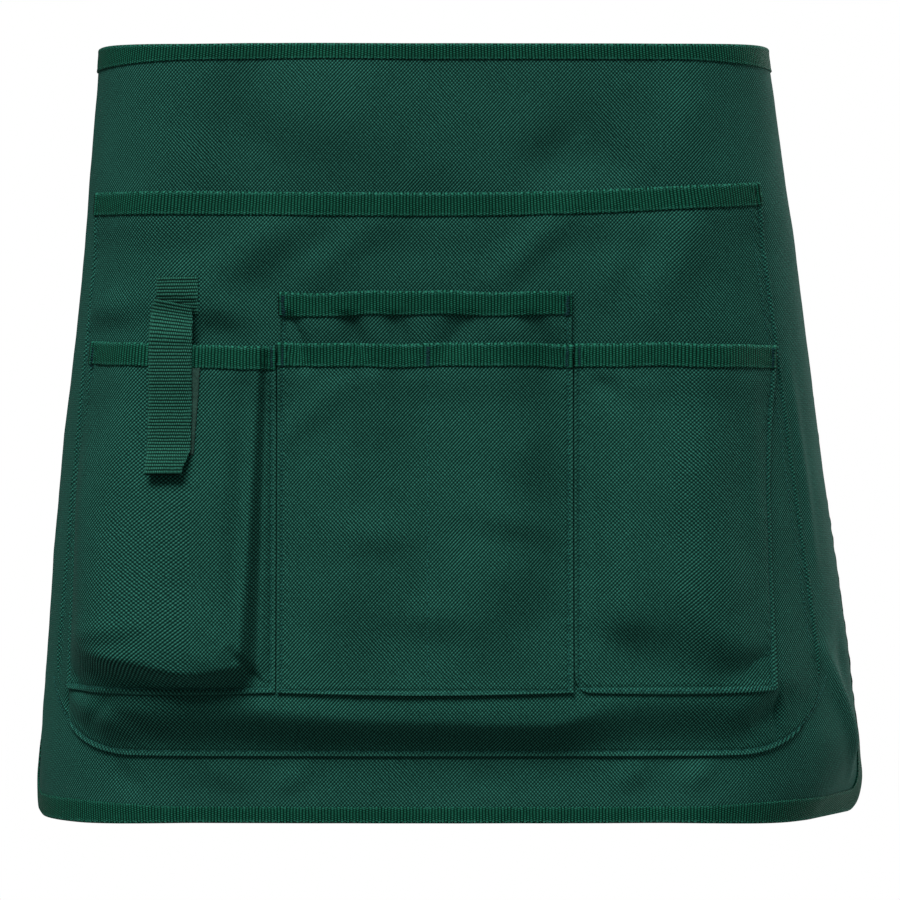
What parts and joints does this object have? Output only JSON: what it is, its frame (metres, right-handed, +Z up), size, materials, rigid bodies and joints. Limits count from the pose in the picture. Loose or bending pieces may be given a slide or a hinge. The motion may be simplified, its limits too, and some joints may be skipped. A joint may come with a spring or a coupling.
{
  "type": "gardening apron",
  "caption": "Half apron that wraps the waist, with bound edges, a wide pouch pocket, a row of tool pockets sewn on it, a hanging closure strap and waist straps joined behind.",
  "frame": {"origin": "centre of the waist loop, level with the top edge of the panel at centre front", "axes": "+Z up along the wearer's spine, -Y towards the front with the pockets, +X to the viewer's right"},
  "size_m": [0.4707, 0.2892, 0.4248],
  "materials": {
    "cloth": "dark green plain-woven canvas with a slight sheen",
    "pocket_cloth": "dark green plain-woven canvas, softly creased",
    "binding": "dark green ribbed tape with light flecks along its edges",
    "webbing": "dark green ribbed webbing",
    "loop": "greyish green fuzzy loop tape",
    "buckle": "dark matt moulded plastic"
  },
  "bodies": {
    "root": {"body_panel": "cloth", "top_binding": "binding", "edge_binding": "binding", "large_pocket": "pocket_cloth", "large_pocket_binding": "binding", "inner_pocket": "pocket_cloth", "inner_pocket_binding": "binding", "left_pocket": "pocket_cloth", "left_pocket_binding": "binding", "middle_pocket": "pocket_cloth", "middle_pocket_binding": "binding", "right_pocket": "pocket_cloth", "right_pocket_binding": "binding", "loop_tape": "loop", "closure_strap": "webbing", "waist_strap_left": "webbing", "waist_strap_right": "webbing", "waist_buckle": "buckle"}
  },
  "joints": []
}
